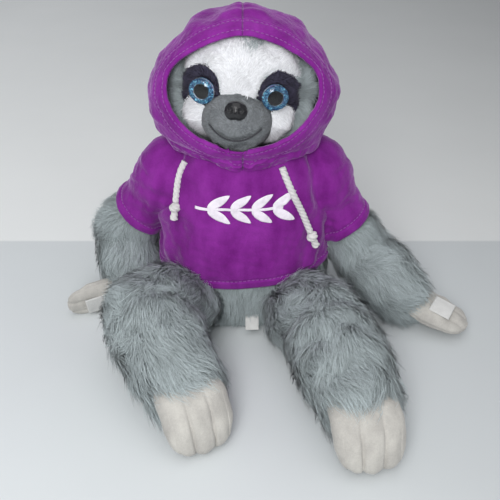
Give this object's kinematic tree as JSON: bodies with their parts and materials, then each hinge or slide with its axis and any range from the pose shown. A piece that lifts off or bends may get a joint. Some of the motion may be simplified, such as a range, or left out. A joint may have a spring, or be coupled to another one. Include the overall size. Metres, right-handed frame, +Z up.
{
  "type": "plush sloth",
  "caption": "Seated plush sloth in a hooded top, with stuffed limbs that bend, a turning head and hood, sewn face, curved claws and drawstrings.",
  "frame": {"origin": "middle of the flat seat, on the surface that the toy sits on", "axes": "+Z up, the toy faces -Y, its left side is +X"},
  "size_m": [0.4009, 0.3191, 0.3045],
  "materials": {
    "grey_fur": "long soft pile",
    "purple_velour": "short soft pile with a sheen",
    "cream_velboa": "short pile",
    "white_plush": "soft pile",
    "dark_plush": "soft pile",
    "muzzle_plush": "short pile",
    "white_cotton": "braided cord",
    "white_print": "thin flexible transfer print",
    "white_tape": "woven tape",
    "black_plastic": "glossy",
    "blue_glitter": "glitter foil",
    "clear_plastic": "clear and polished",
    "white_plastic": "matt"
  },
  "bodies": {
    "body": {"torso": "grey_fur", "hoodie_front": "purple_velour", "hoodie_back": "purple_velour", "drawstring_left": "white_cotton", "knot_left": "white_cotton", "drawstring_right": "white_cotton", "knot_right": "white_cotton", "chest_print": "white_print", "label": "white_tape"},
    "head_body": {"head": "grey_fur", "forehead": "white_plush", "cheek_left": "white_plush", "eye_patch_left": "dark_plush", "iris_left": "blue_glitter", "pupil_left": "black_plastic", "eye_lens_left": "clear_plastic", "eye_washer_left": "white_plastic", "cheek_right": "white_plush", "eye_patch_right": "dark_plush", "iris_right": "blue_glitter", "pupil_right": "black_plastic", "eye_lens_right": "clear_plastic", "eye_washer_right": "white_plastic", "muzzle": "muzzle_plush", "nose": "black_plastic", "nose_washer": "white_plastic", "mouth_stitching": "dark_plush", "hood_left": "purple_velour", "hood_right": "purple_velour"},
    "arm_left": {"sleeve_left": "purple_velour", "upper_arm_left": "grey_fur"},
    "forearm_body_left": {"forearm_left": "grey_fur"},
    "hand_body_left": {"hand_left": "cream_velboa", "velcro_patch_left": "white_tape"},
    "arm_right": {"sleeve_right": "purple_velour", "upper_arm_right": "grey_fur"},
    "forearm_body_right": {"forearm_right": "grey_fur"},
    "hand_body_right": {"hand_right": "cream_velboa", "velcro_patch_right": "white_tape"},
    "thigh_body_left": {"thigh_left": "grey_fur"},
    "shin_body_left": {"shin_left": "grey_fur"},
    "foot_body_left": {"foot_left": "cream_velboa"},
    "thigh_body_right": {"thigh_right": "grey_fur"},
    "shin_body_right": {"shin_right": "grey_fur"},
    "foot_body_right": {"foot_right": "cream_velboa"}
  },
  "joints": [
    {"name": "neck", "type": "hinge", "parent": "body", "child": "head_body", "pos_m": [0, 0.004, 0.184], "axis": [0, 0, 1], "range_deg": [-25, 25]},
    {"name": "shoulder_left", "type": "hinge", "parent": "body", "child": "arm_left", "pos_m": [0.064, 0.005, 0.146], "axis": [0, -1, 0], "range_deg": [0, 60]},
    {"name": "elbow_left", "type": "hinge", "parent": "arm_left", "child": "forearm_body_left", "pos_m": [0.1181, 0.00198, 0.05723], "axis": [-0.7641, -0.4623, -0.4499], "range_deg": [-40, 32]},
    {"name": "wrist_left", "type": "hinge", "parent": "forearm_body_left", "child": "hand_body_left", "pos_m": [0.15714, -0.03652, 0.03049], "axis": [-0.5, -0.866, 0], "range_deg": [-25, 25]},
    {"name": "shoulder_right", "type": "hinge", "parent": "body", "child": "arm_right", "pos_m": [-0.064, 0.005, 0.146], "axis": [0, 1, 0], "range_deg": [0, 60]},
    {"name": "elbow_right", "type": "hinge", "parent": "arm_right", "child": "forearm_body_right", "pos_m": [-0.12603, 0.02758, 0.06564], "axis": [-0.6974, -0.6168, 0.365], "range_deg": [-70, 2]},
    {"name": "wrist_right", "type": "hinge", "parent": "forearm_body_right", "child": "hand_body_right", "pos_m": [-0.11301, -0.01299, 0.02198], "axis": [0.342, -0.9397, 0], "range_deg": [-25, 25]},
    {"name": "hip_left", "type": "hinge", "parent": "body", "child": "thigh_body_left", "pos_m": [0.044, -0.036, 0.0285], "axis": [-1, 0, 0], "range_deg": [-45, 10]},
    {"name": "knee_left", "type": "hinge", "parent": "thigh_body_left", "child": "shin_body_left", "pos_m": [0.07759, -0.11145, 0.04381], "axis": [-1, 0, 0], "range_deg": [-45, 0]},
    {"name": "ankle_left", "type": "hinge", "parent": "shin_body_left", "child": "foot_body_left", "pos_m": [0.09445, -0.17906, 0.0371], "axis": [-0.9877, -0.1564, 0], "range_deg": [-20, 20]},
    {"name": "hip_right", "type": "hinge", "parent": "body", "child": "thigh_body_right", "pos_m": [-0.044, -0.036, 0.0285], "axis": [-1, 0, 0], "range_deg": [-45, 10]},
    {"name": "knee_right", "type": "hinge", "parent": "thigh_body_right", "child": "shin_body_right", "pos_m": [-0.08751, -0.103, 0.05446], "axis": [-1, 0, 0], "range_deg": [-45, 0]},
    {"name": "ankle_right", "type": "hinge", "parent": "shin_body_right", "child": "foot_body_right", "pos_m": [-0.05387, -0.16127, 0.03516], "axis": [-0.9135, -0.4067, 0], "range_deg": [-20, 20]}
  ]
}
